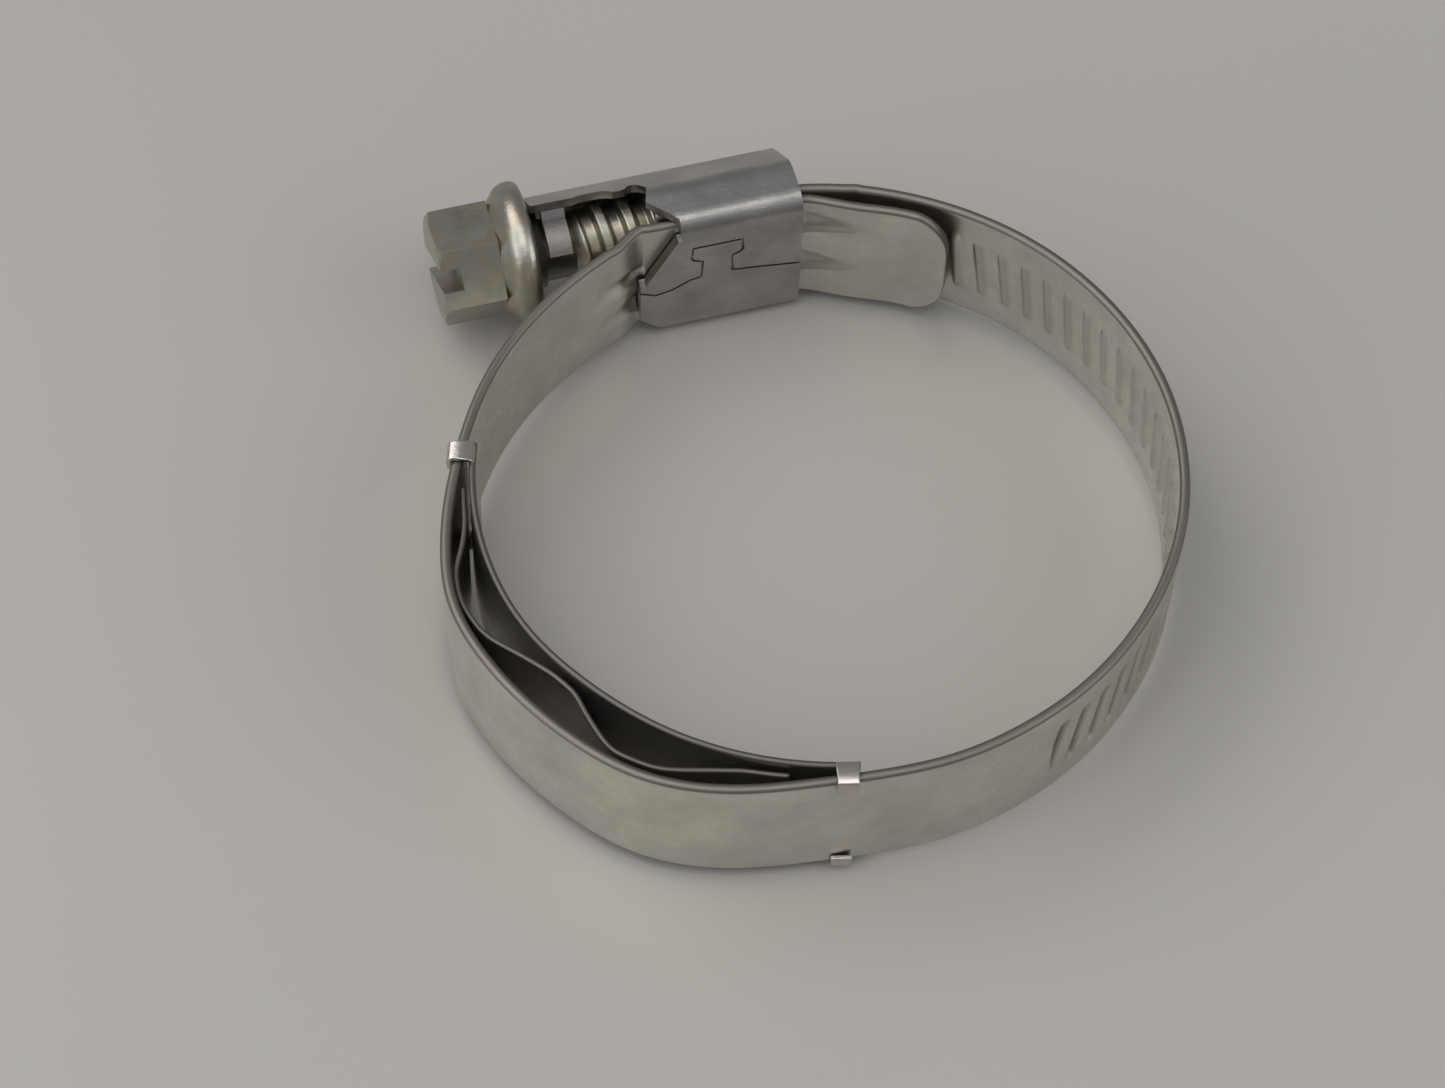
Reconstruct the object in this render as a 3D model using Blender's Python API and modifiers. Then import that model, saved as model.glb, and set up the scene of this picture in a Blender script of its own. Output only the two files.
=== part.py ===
"""Worm-drive hose clamp with a spring insert.

Metres. The screw lies along X with its head at -X, the ring's axis is Z, and the housing
is on the ring's +Y side. Azimuths are degrees about the ring's centre, from +X towards +Y.
"""
import bmesh
import bpy
import math
from mathutils import Matrix, Vector

MM = 0.001

# Band: one strip, cut where it flexes into a fixed run, a closing run and a threaded tail.
BAND_WIDTH = 12.0 * MM
BAND_THICKNESS = 0.8 * MM
RING_RADIUS = 25.2 * MM
FLEX_GAP = 0.3 * MM
FRONT_FLEX_AZIMUTH = 295.0
TAIL_FLEX_AZIMUTH = 432.0
TAIL_TIP_X = -7.4 * MM
TONGUE_AZIMUTHS = (52.0, 61.0, 71.0)
TONGUE_INSET = 2.15 * MM
TONGUE_TAPER = 2.6 * MM
# Distance of the band's middle line outside RING_RADIUS, at azimuths from the housing round.
FIXED_RUN = ((116, -0.4), (123, -0.2), (133, 0.3), (148, 1.3), (163, 2.2), (172, 3.2),
             (181, 4.3), (189, 5.35), (198, 5.3), (212, 5.0), (226, 4.8), (234, 4.0),
             (243, 2.7), (252, 1.45), (262, 0.9), (274, 0.75), (286, 0.5))
CLOSING_RUN = ((286, 0.5), (310, 0.4), (335, 0.45), (360, 0.25), (385, -0.2), (410, -0.55),
               (423, -0.6), (432, -0.5))

# Impressions pressed in the band for the worm to bite in.
THREAD_PITCH = 2.1 * MM
GROOVE_WIDTH = 1.15 * MM
GROOVE_LENGTH = 7.0 * MM
GROOVE_DEPTH = 0.5 * MM


# Clearances between pieces.
CLINCH_GAP = 0.1 * MM
SLIDE_GAP = 0.25 * MM
SIDE_GAP = 0.2 * MM
RUNNING_GAP = 0.25 * MM
LEAF_GAP = 0.2 * MM

# Housing: one pressed sheet, from the plate on the hose side round to the roof.
PLATE_Y = RING_RADIUS - 3.0 * MM
SHEET = 0.8 * MM
PLATE_LEFT_X = -9.1 * MM
HOUSING_RIGHT_X = 3.7 * MM
ROOF_LEFT_X = -16.35 * MM
SHOULDER_Y = PLATE_Y + 4.0 * MM
BEND_RADIUS = SHEET + 0.5 * MM
HEEL = 2.6 * MM
ROOF_EDGE_ANGLE = 83.0
TAB_LEFT_X = -15.5 * MM
TAB_WIDTH = 1.8 * MM
TAB_END_ANGLE = 140.0

# Screw.
CREST_RADIUS = 3.0 * MM
ROOT_RADIUS = 2.3 * MM
THREAD_BITE = 0.2 * MM
THREAD_LEFT_X = -13.3 * MM
THREAD_RIGHT_X = 2.3 * MM
NECK_RADIUS = 2.25 * MM
COLLAR_RADIUS = 3.0 * MM
COLLAR_LENGTH = 0.8 * MM
FLANGE_RADIUS = 5.6 * MM
FLANGE_LENGTH = 2.1 * MM
FLANGE_GAP = 0.25 * MM
CONE_LENGTH = 0.8 * MM
HEX_ACROSS_FLATS = 8.0 * MM
HEX_LENGTH = 4.6 * MM
HEX_CORNER_ANGLE = 51.0
SLOT_WIDTH = 1.8 * MM
SLOT_DEPTH = 1.6 * MM

# Spring insert: a liner leaf with four lugs over the band's edges, and a wave spring.
LINER_THICKNESS = 0.5 * MM
LINER_ENDS = (163.0, 258.0)
LINER_RUN = ((163, 1.4), (172, 1.55), (182, 1.65), (192, 1.65), (201, 1.45), (209, 1.05),
             (218, 0.8), (228, 0.65), (240, 0.4), (250, 0.25), (258, 0.2))
LUG_LENGTH = 1.7 * MM
LUG_THICKNESS = 0.4 * MM
LUG_LIP = 1.4 * MM
LUG_CENTRES = (165.0, 255.8)
WAVE_THICKNESS = 0.4 * MM
WAVE_EDGE_INSET = 0.8 * MM
WAVE_RUN = ((170, 2.2), (176, 2.35), (180, 2.9), (184, 3.85), (189, 4.4), (195, 4.15),
            (201, 2.75), (206, 1.95), (211, 1.8), (215, 2.6), (221, 3.75), (228, 3.35),
            (235, 1.95), (240, 1.2), (247, 0.95))

ARC_STEP = 1.5 * MM
WORM_SIDES = 16
WORM_RINGS_PER_PITCH = 8
ROUND_SEGMENTS = 32

FIXED_Y = PLATE_Y + SHEET + CLINCH_GAP + BAND_THICKNESS / 2
TAIL_Y = FIXED_Y + BAND_THICKNESS + SLIDE_GAP
SCREW_Y = TAIL_Y + BAND_THICKNESS / 2 - THREAD_BITE + CREST_RADIUS
SCREW_Z = BAND_WIDTH / 2
TUNNEL_RADIUS = CREST_RADIUS + RUNNING_GAP
ROOF_RADIUS = TUNNEL_RADIUS + SHEET
WALL_BOTTOM_Z = -SIDE_GAP - SHEET
WALL_TOP_Z = BAND_WIDTH + SIDE_GAP + SHEET
CUT_OVER = 1.0 * MM

STEEL = {"band_steel": ((0.62, 0.60, 0.56), 0.30), "housing_steel": ((0.50, 0.50, 0.49), 0.34),
         "screw_steel": ((0.58, 0.56, 0.48), 0.32), "spring_steel": ((0.46, 0.45, 0.43), 0.30)}


def clear_scene():
    for item in list(bpy.data.objects):
        bpy.data.objects.remove(item, do_unlink=True)


def make_collection(name):
    group = bpy.data.collections.new(name)
    bpy.context.scene.collection.children.link(group)
    return group


def steel_material(name):
    colour, roughness = STEEL[name]
    material = bpy.data.materials.new(name)
    material.use_nodes = True
    shader = material.node_tree.nodes["Principled BSDF"]
    shader.inputs["Base Color"].default_value = (*colour, 1)
    shader.inputs["Metallic"].default_value = 1.0
    shader.inputs["Roughness"].default_value = roughness
    return material


def add_object(name, bm, group):
    """Turn a bmesh into a named object whose faces point out."""
    bmesh.ops.recalc_face_normals(bm, faces=bm.faces)
    mesh = bpy.data.meshes.new(name)
    bm.to_mesh(mesh)
    bm.free()
    item = bpy.data.objects.new(name, mesh)
    group.objects.link(item)
    return item


def add_part(name, bm, parts, material, origin=(0, 0, 0)):
    """A part's mesh is drawn in the clamp's frame, and its object stands at its own origin."""
    bmesh.ops.translate(bm, vec=-Vector(origin), verts=bm.verts)
    item = add_object(name, bm, parts)
    item.location = origin
    item.data.materials.append(steel_material(material))
    return item


def combine(base, tools, operation, cutters):
    """Leave a Boolean for each tool on the base. The tools are hidden from the render."""
    for tool in tools:
        if tool.name not in cutters.objects:
            cutters.objects.link(tool)
        tool.hide_render = True
        tool.display_type = "WIRE"
        step = base.modifiers.new(operation.lower() + "_" + tool.name, "BOOLEAN")
        step.operation = operation
        step.solver = "EXACT"
        step.object = tool


def polar(azimuth, radius):
    angle = math.radians(azimuth)
    return Vector((radius * math.cos(angle), radius * math.sin(angle), 0))


def ring_points(stations):
    return [polar(azimuth, RING_RADIUS + offset * MM) for azimuth, offset in stations]


def smooth_path(points, step=ARC_STEP):
    """Points about one step apart on a Catmull-Rom curve through the given points."""
    ends = [2 * points[0] - points[1], *points, 2 * points[-1] - points[-2]]
    path = []
    for before, start, end, after in zip(ends, ends[1:], ends[2:], ends[3:]):
        count = max(1, round((end - start).length / step))
        for i in range(count):
            t = i / count
            path.append(0.5 * (2 * start + (end - before) * t
                               + (2 * before - 5 * start + 4 * end - after) * t * t
                               + (3 * start - before - 3 * end + after) * t ** 3))
    return path + [points[-1].copy()]


def trim_path(path, start_gap, end_gap):
    """Shorten a path by a length at each end."""
    trimmed = list(path)
    for gap in (start_gap, end_gap):
        trimmed.reverse()
        while gap > 0 and (trimmed[-2] - trimmed[-1]).length <= gap:
            gap -= (trimmed[-2] - trimmed[-1]).length
            trimmed.pop()
        if gap > 0:
            trimmed[-1] = trimmed[-1] + (trimmed[-2] - trimmed[-1]).normalized() * gap
    return trimmed


def path_tangents(path):
    tangents = []
    for i in range(len(path)):
        ahead = path[min(i + 1, len(path) - 1)]
        behind = path[max(i - 1, 0)]
        tangents.append((ahead - behind).normalized())
    return tangents


def swept_strip(path, thickness, low_z, high_z):
    """A strip on edge, swept along a path. low_z and high_z are heights or functions of i."""
    bm = bmesh.new()
    rings = []
    for i, (point, tangent) in enumerate(zip(path, path_tangents(path))):
        side = Vector((tangent.y, -tangent.x, 0)) * (thickness / 2)
        low = low_z(i) if callable(low_z) else low_z
        high = high_z(i) if callable(high_z) else high_z
        corners = [point + side + Vector((0, 0, low)), point + side + Vector((0, 0, high)),
                   point - side + Vector((0, 0, high)), point - side + Vector((0, 0, low))]
        rings.append([bm.verts.new(corner) for corner in corners])
    for ring, after in zip(rings, rings[1:]):
        for k in range(4):
            bm.faces.new((ring[k], ring[(k + 1) % 4], after[(k + 1) % 4], after[k]))
    bm.faces.new(rings[0])
    bm.faces.new(rings[-1])
    return bm


def prism(outline, axis, start, end):
    """Extrude a flat outline along X, Y or Z. The outline's pairs are the other two axes."""
    bm = bmesh.new()
    places = {"X": lambda a, b, c: (c, a, b), "Y": lambda a, b, c: (a, c, b),
              "Z": lambda a, b, c: (a, b, c)}
    face = bm.faces.new([bm.verts.new(places[axis](a, b, start)) for a, b in outline])
    made = bmesh.ops.extrude_face_region(bm, geom=[face])
    moved = [item for item in made["geom"] if isinstance(item, bmesh.types.BMVert)]
    bmesh.ops.translate(bm, vec=places[axis](0, 0, end - start), verts=moved)
    return bm


def arc(centre, radius, start, end, steps):
    """Points of an arc in a plane, from one angle to another in degrees."""
    angles = [math.radians(start + (end - start) * i / steps) for i in range(steps + 1)]
    return [(centre[0] + radius * math.cos(a), centre[1] + radius * math.sin(a)) for a in angles]


def groove_cutter(name, point, outward, along, cutters):
    """A slanted block that presses one impression into the band's outer face."""
    bm = bmesh.new()
    bmesh.ops.create_cube(bm, size=1)
    size = Matrix.Diagonal((GROOVE_WIDTH, 2 * GROOVE_DEPTH, GROOVE_LENGTH, 1))
    lead = math.atan(THREAD_PITCH / (2 * math.pi * CREST_RADIUS))
    slant = Matrix.Rotation(lead, 4, "Y")
    turn = Matrix((along, outward, (0, 0, 1))).transposed().to_4x4()
    place = Matrix.Translation(point + outward * (BAND_THICKNESS / 2) + Vector((0, 0, SCREW_Z)))
    bmesh.ops.transform(bm, matrix=place @ turn @ slant @ size, verts=bm.verts)
    return add_object(name, bm, cutters)


def press_grooves(item, path, offset, cutters):
    """Cut impressions one pitch apart along a path, counted from offset along it."""
    lengths = [0.0]
    for a, b in zip(path, path[1:]):
        lengths.append(lengths[-1] + (b - a).length)
    tools = []
    place = offset
    while place < lengths[-1] - 0.8 * GROOVE_WIDTH:
        k = max(i for i, length in enumerate(lengths) if length <= place)
        along = (path[k + 1] - path[k]).normalized()
        outward = Vector((along.y, -along.x, 0))
        point = path[k] + along * (place - lengths[k])
        tools.append(groove_cutter(f"{item.name}_groove_{len(tools)}", point, outward, along, cutters))
        place += THREAD_PITCH
    for tool in tools:
        tool.location -= item.location
    combine_group(item, tools, cutters)


def combine_group(item, tools, cutters):
    """Cut with separate tools joined into one mesh."""
    bm = bmesh.new()
    for tool in tools:
        copy = tool.data.copy()
        copy.transform(Matrix.Translation(tool.location))
        bm.from_mesh(copy)
        bpy.data.meshes.remove(copy)
        bpy.data.objects.remove(tool)
    block = add_object(item.name + "_grooves", bm, cutters)
    block.location = item.location
    combine(item, [block], "DIFFERENCE", cutters)


def fixed_run_path():
    """Tongue tip, straight through the housing, round by the spring insert to the front."""
    tongue = [polar(a, RING_RADIUS - TONGUE_INSET) for a in TONGUE_AZIMUTHS]
    straight = [Vector((x, FIXED_Y, 0)) for x in
                (HOUSING_RIGHT_X, HOUSING_RIGHT_X - 2 * MM, PLATE_LEFT_X + 2 * MM, PLATE_LEFT_X)]
    ring = [point for point in ring_points(FIXED_RUN)]
    return tongue, straight, ring


def make_fixed_run(parts):
    tongue, straight, ring = fixed_run_path()
    front, back = flex_points()
    path = smooth_path([*tongue, *straight, *ring])
    closing = smooth_path(ring_points(CLOSING_RUN))
    to_flex = [point for point in closing[1:] if point.cross(front).z > 0 and point.dot(front) > 0]
    path = trim_path(path + to_flex + [front], 0, FLEX_GAP / 2)
    reach = [(point - path[0]).length for point in path]

    def bottom(i):
        return TONGUE_TAPER * (1 - min(1, reach[i] / TONGUE_TAPER))

    def top(i):
        return BAND_WIDTH - bottom(i)
    return add_part("band_fixed_run", swept_strip(path, BAND_THICKNESS, bottom, top), parts, "band_steel")


def flex_points():
    """Where the band flexes: at the front, and where the tail leaves the ring."""
    closing = smooth_path(ring_points(CLOSING_RUN), ARC_STEP / 20)
    front = min(closing, key=lambda p: abs(math.degrees(math.atan2(p.y, p.x)) % 360 - FRONT_FLEX_AZIMUTH))
    return front, closing[-1]


def make_closing_run(parts, cutters):
    front, back = flex_points()
    closing = smooth_path(ring_points(CLOSING_RUN))
    path = [front] + [p for p in closing if p.cross(front).z < 0 or p.dot(front) < 0]
    path = trim_path(path, FLEX_GAP / 2, FLEX_GAP / 2)
    item = add_part("band_closing_run", swept_strip(path, BAND_THICKNESS, 0, BAND_WIDTH), parts,
                    "band_steel", front)
    press_grooves(item, path, GROOVE_WIDTH, cutters)
    return item


def make_tail(parts, cutters):
    front, back = flex_points()
    ring = ring_points(CLOSING_RUN)
    straight = [Vector((x, TAIL_Y, 0)) for x in (HOUSING_RIGHT_X - 1.2 * MM, TAIL_TIP_X)]
    whole = smooth_path([ring[-3], ring[-2], ring[-1], *straight])
    start = min(range(len(whole)), key=lambda i: (whole[i] - back).length)
    path = trim_path(whole[start:], FLEX_GAP / 2, 0)
    item = add_part("band_threaded_tail", swept_strip(path, BAND_THICKNESS, 0, BAND_WIDTH), parts,
                    "band_steel", back)
    length = sum((b - a).length for a, b in zip(path, path[1:]))
    first = (length - (-TAIL_TIP_X)) % THREAD_PITCH
    press_grooves(item, path, first, cutters)
    return item


def housing_outline(inset):
    """The sheet's outer outline round the plate, walls and roof, or its inner one inset."""
    low, high = WALL_BOTTOM_Z + inset, WALL_TOP_Z - inset
    plate = PLATE_Y + inset
    bend = BEND_RADIUS - inset
    radius = ROOF_RADIUS - inset
    shoulder = Vector((SHOULDER_Y, high)) - Vector((SCREW_Y, SCREW_Z))
    tangent = math.degrees(math.atan2(shoulder.y, shoulder.x) - math.acos(radius / shoulder.length))
    points = arc((plate + bend, low + bend), bend, 270, 180, 5)
    points += arc((plate + bend, high - bend), bend, 180, 90, 5)
    points += [(SHOULDER_Y, high)]
    points += arc((SCREW_Y, SCREW_Z), radius, tangent, -tangent, 14)
    points += [(SHOULDER_Y, low)]
    return points


def tab_outline():
    """A lug bent in from the roof's edge into the screw's neck."""
    centre = (SCREW_Y, SCREW_Z)
    outer = arc(centre, ROOF_RADIUS, ROOF_EDGE_ANGLE - 12, ROOF_EDGE_ANGLE, 2)
    outer += arc(centre, COLLAR_RADIUS + SHEET / 2, ROOF_EDGE_ANGLE + 8, TAB_END_ANGLE, 5)
    inner = arc(centre, NECK_RADIUS + RUNNING_GAP, TAB_END_ANGLE, ROOF_EDGE_ANGLE, 5)
    inner += arc(centre, TUNNEL_RADIUS + SHEET / 4, ROOF_EDGE_ANGLE - 6, ROOF_EDGE_ANGLE - 12, 1)
    return outer + inner


def make_housing(parts, cutters):
    """The folded sheet, hollowed, with its walls cut back from the roof at the head end."""
    over = CUT_OVER
    body = add_part("housing", prism(housing_outline(0), "X", ROOF_LEFT_X, HOUSING_RIGHT_X), parts,
                    "housing_steel")
    hollow = add_object("housing_hollow", prism(housing_outline(SHEET), "X", ROOF_LEFT_X - over,
                                                HOUSING_RIGHT_X + over), cutters)
    left = ROOF_LEFT_X - over
    low, high = WALL_BOTTOM_Z - over, WALL_TOP_Z + over
    eave = SCREW_Y + (TUNNEL_RADIUS * math.cos(math.radians(ROOF_EDGE_ANGLE)))
    under = PLATE_Y - over
    plate_back = PLATE_Y + SHEET + CLINCH_GAP
    corner = PLATE_LEFT_X + 3.2 * MM
    window = [(left, under), (PLATE_LEFT_X, under), (PLATE_LEFT_X, SHOULDER_Y), (PLATE_LEFT_X - MM, eave),
              (left, eave)]
    plate_cut = [(left, high), (corner, high), (corner, WALL_TOP_Z - BEND_RADIUS),
                 (PLATE_LEFT_X + 0.4 * MM, SCREW_Z), (left, SCREW_Z)]
    heel_cut = [(left, low), (PLATE_LEFT_X + HEEL, low), (PLATE_LEFT_X + HEEL, WALL_BOTTOM_Z),
                (PLATE_LEFT_X, WALL_BOTTOM_Z + HEEL), (left, WALL_BOTTOM_Z + HEEL)]
    upper_cut = [(left, under), (corner, under), (corner, PLATE_Y + SHEET), (PLATE_LEFT_X, SHOULDER_Y),
                 (left, SHOULDER_Y)]
    tools = [hollow,
             add_object("housing_window", prism(window, "Z", low, high), cutters),
             add_object("plate_edge", prism(plate_cut, "Y", under, plate_back), cutters),
             add_object("plate_heel", prism(heel_cut, "Y", under, plate_back + SHEET), cutters),
             add_object("upper_wall_edge", prism(upper_cut, "Z", BAND_WIDTH - over, high), cutters)]
    combine(body, tools, "DIFFERENCE", cutters)
    tab = add_object("housing_tab", prism(tab_outline(), "X", TAB_LEFT_X, TAB_LEFT_X + TAB_WIDTH), cutters)
    combine(body, [tab], "UNION", cutters)
    return body


def turned(name, profile, cutters):
    """Turn an outline of (x, radius) pairs about the screw's axis with a Screw modifier."""
    bm = bmesh.new()
    points = [bm.verts.new((x, radius, 0)) for x, radius in profile]
    for a, b in zip(points, points[1:]):
        bm.edges.new((a, b))
    mesh = bpy.data.meshes.new(name)
    bm.to_mesh(mesh)
    bm.free()
    item = bpy.data.objects.new(name, mesh)
    cutters.objects.link(item)
    item.location = (0, SCREW_Y, SCREW_Z)
    spin = item.modifiers.new("turn", "SCREW")
    spin.axis = "X"
    spin.steps = ROUND_SEGMENTS
    spin.render_steps = ROUND_SEGMENTS
    spin.use_merge_vertices = True
    spin.merge_threshold = 0.00001
    return item


def thread_radius(x, angle):
    """Height of the worm's trapezoid thread, fading out at both ends."""
    turn = (x / THREAD_PITCH - angle / (2 * math.pi)) % 1.0
    from_crest = abs(turn - 0.5) * 2
    rise = min(1.0, max(0.0, (0.66 - from_crest) / 0.36))
    end = min(x - THREAD_LEFT_X, THREAD_RIGHT_X - x) / (0.5 * THREAD_PITCH)
    return ROOT_RADIUS + (CREST_RADIUS - ROOT_RADIUS) * rise * min(1.0, max(0.0, end))


def worm_mesh():
    """A closed core with the thread raised on it, ring by ring."""
    bm = bmesh.new()
    step = THREAD_PITCH / WORM_RINGS_PER_PITCH
    count = round((THREAD_RIGHT_X - THREAD_LEFT_X) / step)
    rings = []
    for i in range(count + 1):
        x = THREAD_LEFT_X + (THREAD_RIGHT_X - THREAD_LEFT_X) * i / count
        ring = []
        for k in range(WORM_SIDES):
            angle = 2 * math.pi * k / WORM_SIDES
            radius = thread_radius(x, angle)
            ring.append(bm.verts.new((x, radius * math.cos(angle), radius * math.sin(angle))))
        rings.append(ring)
    for ring, after in zip(rings, rings[1:]):
        for k in range(WORM_SIDES):
            n = (k + 1) % WORM_SIDES
            bm.faces.new((ring[k], ring[n], after[n], after[k]))
    bm.faces.new(rings[0])
    bm.faces.new(rings[-1])
    return bm


def make_screw(parts, cutters):
    """Slotted hex head, flange, neck and worm in one piece."""
    origin = Vector((0, SCREW_Y, SCREW_Z))
    flange_right = ROOF_LEFT_X - FLANGE_GAP
    flange_left = flange_right - FLANGE_LENGTH
    hex_right = flange_left - CONE_LENGTH
    bm = worm_mesh()
    bmesh.ops.translate(bm, vec=origin, verts=bm.verts)
    screw = add_part("worm_screw", bm, parts, "screw_steel", origin)
    profile = [(hex_right - 0.3 * MM, 0), (hex_right - 0.3 * MM, 0.40 * HEX_ACROSS_FLATS),
               (flange_left, FLANGE_RADIUS - 0.5 * MM), (flange_left + 0.45 * MM, FLANGE_RADIUS - 0.08 * MM),
               (flange_left + 1.0 * MM, FLANGE_RADIUS), (flange_right - 0.5 * MM, FLANGE_RADIUS - 0.1 * MM),
               (flange_right, FLANGE_RADIUS - 0.6 * MM), (flange_right, COLLAR_RADIUS),
               (flange_right + COLLAR_LENGTH, COLLAR_RADIUS), (flange_right + COLLAR_LENGTH, NECK_RADIUS),
               (THREAD_LEFT_X + 0.3 * MM, NECK_RADIUS), (THREAD_LEFT_X + 0.3 * MM, 0)]
    flange = turned("screw_flange", profile, cutters)
    bm = bmesh.new()
    corner_radius = HEX_ACROSS_FLATS / math.sqrt(3)
    bmesh.ops.create_cone(bm, cap_ends=True, segments=6, radius1=corner_radius, radius2=corner_radius,
                          depth=HEX_LENGTH)
    lay = Matrix.Rotation(math.radians(90), 4, "Y")
    first = bmesh_corner_angle(bm, lay)
    spin = Matrix.Rotation(math.radians(HEX_CORNER_ANGLE) - first, 4, "X")
    place = Matrix.Translation((hex_right - HEX_LENGTH / 2, 0, 0))
    bmesh.ops.transform(bm, matrix=Matrix.Translation(origin) @ place @ spin @ lay, verts=bm.verts)
    hexagon = add_object("screw_hexagon", bm, cutters)
    bm = bmesh.new()
    bmesh.ops.create_cube(bm, size=1)
    size = Matrix.Diagonal((2 * SLOT_DEPTH, 3 * HEX_ACROSS_FLATS, SLOT_WIDTH, 1))
    spin = Matrix.Rotation(math.radians(HEX_CORNER_ANGLE + 90), 4, "X")
    place = Matrix.Translation(origin + Vector((hex_right - HEX_LENGTH, 0, 0)))
    bmesh.ops.transform(bm, matrix=place @ spin @ size, verts=bm.verts)
    slot = add_object("screw_slot", bm, cutters)
    combine(screw, [flange, hexagon], "UNION", cutters)
    combine(screw, [slot], "DIFFERENCE", cutters)
    return screw


def bmesh_corner_angle(bm, lay):
    """Angle about X of the hexagon's first corner once it lies along X."""
    corner = lay @ bm.verts[:][0].co
    return math.atan2(corner.z, corner.y)


def path_at(stations, azimuth):
    """The point and outward direction where a run crosses an azimuth."""
    path = smooth_path(ring_points(stations), ARC_STEP / 10)
    best = min(range(1, len(path) - 1), key=lambda i: (path[i].normalized() - polar(azimuth, 1)).length)
    along = (path[best + 1] - path[best - 1]).normalized()
    return path[best], Vector((along.y, -along.x, 0)), along


def lug_mesh(azimuth, upper):
    """A shelf over one edge of the band and a lip folded onto the band's outer face."""
    inner, outward, along = path_at(LINER_RUN, azimuth)
    band, _, _ = path_at(FIXED_RUN, azimuth)
    reach = (band - inner).dot(outward) + BAND_THICKNESS / 2 + LUG_THICKNESS / 2 + LEAF_GAP
    edge = BAND_WIDTH + CLINCH_GAP if upper else -CLINCH_GAP
    sign = 1 if upper else -1
    top = edge + sign * LUG_THICKNESS
    lip = top - sign * LUG_LIP
    start = -LINER_THICKNESS / 2
    stop = reach + LUG_THICKNESS / 2
    outline = [(start, edge - sign * 0.5 * MM), (start, top), (stop, top), (stop, lip),
               (stop - LUG_THICKNESS, lip), (stop - LUG_THICKNESS, edge),
               (LINER_THICKNESS / 2, edge), (LINER_THICKNESS / 2, edge - sign * 0.5 * MM)]
    bm = prism(outline, "X", -LUG_LENGTH / 2, LUG_LENGTH / 2)
    turn = Matrix((along, outward, (0, 0, 1))).transposed().to_4x4()
    bmesh.ops.transform(bm, matrix=Matrix.Translation(inner) @ turn, verts=bm.verts)
    return bm


def make_liner(parts, cutters):
    path = smooth_path(ring_points(LINER_RUN))
    liner = add_part("spring_liner", swept_strip(path, LINER_THICKNESS, 0, BAND_WIDTH), parts, "spring_steel")
    lugs = []
    for azimuth in LUG_CENTRES:
        for upper in (True, False):
            name = f"lug_{azimuth:.0f}_{'upper' if upper else 'lower'}"
            lugs.append(add_object(name, lug_mesh(azimuth, upper), cutters))
    combine(liner, lugs, "UNION", cutters)
    return liner


def make_wave_spring(parts):
    path = smooth_path(ring_points(WAVE_RUN), ARC_STEP * 0.7)
    mesh = swept_strip(path, WAVE_THICKNESS, WAVE_EDGE_INSET, BAND_WIDTH - WAVE_EDGE_INSET)
    return add_part("wave_spring", mesh, parts, "spring_steel")


def stand_on_origin(groups):
    """Move everything so that the clamp's box stands on the origin, centred."""
    bpy.context.view_layer.update()
    graph = bpy.context.evaluated_depsgraph_get()
    corners = []
    for item in groups[0].objects:
        solid = item.evaluated_get(graph)
        mesh = solid.to_mesh()
        corners += [item.matrix_world @ v.co for v in mesh.vertices]
        solid.to_mesh_clear()
    low = Vector([min(c[k] for c in corners) for k in range(3)])
    high = Vector([max(c[k] for c in corners) for k in range(3)])
    shift = Vector(((low.x + high.x) / 2, (low.y + high.y) / 2, low.z))
    for group in groups:
        for item in group.objects:
            item.location -= shift


def main():
    clear_scene()
    parts = make_collection("hose_clamp")
    cutters = make_collection("cutters")
    pieces = [make_housing(parts, cutters), make_screw(parts, cutters), make_fixed_run(parts),
              make_closing_run(parts, cutters), make_tail(parts, cutters), make_liner(parts, cutters),
              make_wave_spring(parts)]
    for piece in pieces:
        piece.data.shade_smooth()
        piece.data.set_sharp_from_angle(angle=math.radians(30))
    stand_on_origin((parts, cutters))


main()
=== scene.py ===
"""The looks of a worm-drive hose clamp with a spring insert.

Millimetres about the ring's centre, turned to metres in the row frame by mesh_object(). X runs
along the screw (head at -X), Y points outward at the housing, and Z is the ring's axis.
"""

import math

import bmesh
import bpy
import numpy as np
from mathutils import Matrix, Vector


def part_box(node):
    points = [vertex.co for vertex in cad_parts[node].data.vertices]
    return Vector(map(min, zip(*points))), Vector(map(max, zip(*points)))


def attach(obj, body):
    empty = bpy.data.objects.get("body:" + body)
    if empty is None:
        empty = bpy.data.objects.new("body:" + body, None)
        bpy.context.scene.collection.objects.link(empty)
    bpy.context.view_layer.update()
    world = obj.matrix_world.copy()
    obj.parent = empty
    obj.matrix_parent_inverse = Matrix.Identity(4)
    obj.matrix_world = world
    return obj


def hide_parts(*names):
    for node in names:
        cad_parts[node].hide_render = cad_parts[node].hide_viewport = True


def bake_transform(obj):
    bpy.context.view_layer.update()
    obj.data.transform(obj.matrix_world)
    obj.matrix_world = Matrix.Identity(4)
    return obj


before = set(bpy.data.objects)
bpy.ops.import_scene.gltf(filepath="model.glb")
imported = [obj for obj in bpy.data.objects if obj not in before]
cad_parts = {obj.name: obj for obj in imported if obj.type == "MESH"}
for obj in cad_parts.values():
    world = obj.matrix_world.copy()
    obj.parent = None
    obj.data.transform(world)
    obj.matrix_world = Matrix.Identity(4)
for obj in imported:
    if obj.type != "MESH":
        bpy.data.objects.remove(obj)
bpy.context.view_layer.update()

# Band. Runs are (azimuth, offset from RING_RADIUS) stations of its middle line.
WIDTH = 12.0
THICKNESS = 0.8
RING_RADIUS = 25.2
PITCH = 2.1
FIXED_Y = 23.5
TAIL_Y = 24.55
TAIL_TIP_X = -7.4
FRONT_FLEX = 295.0
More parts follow.
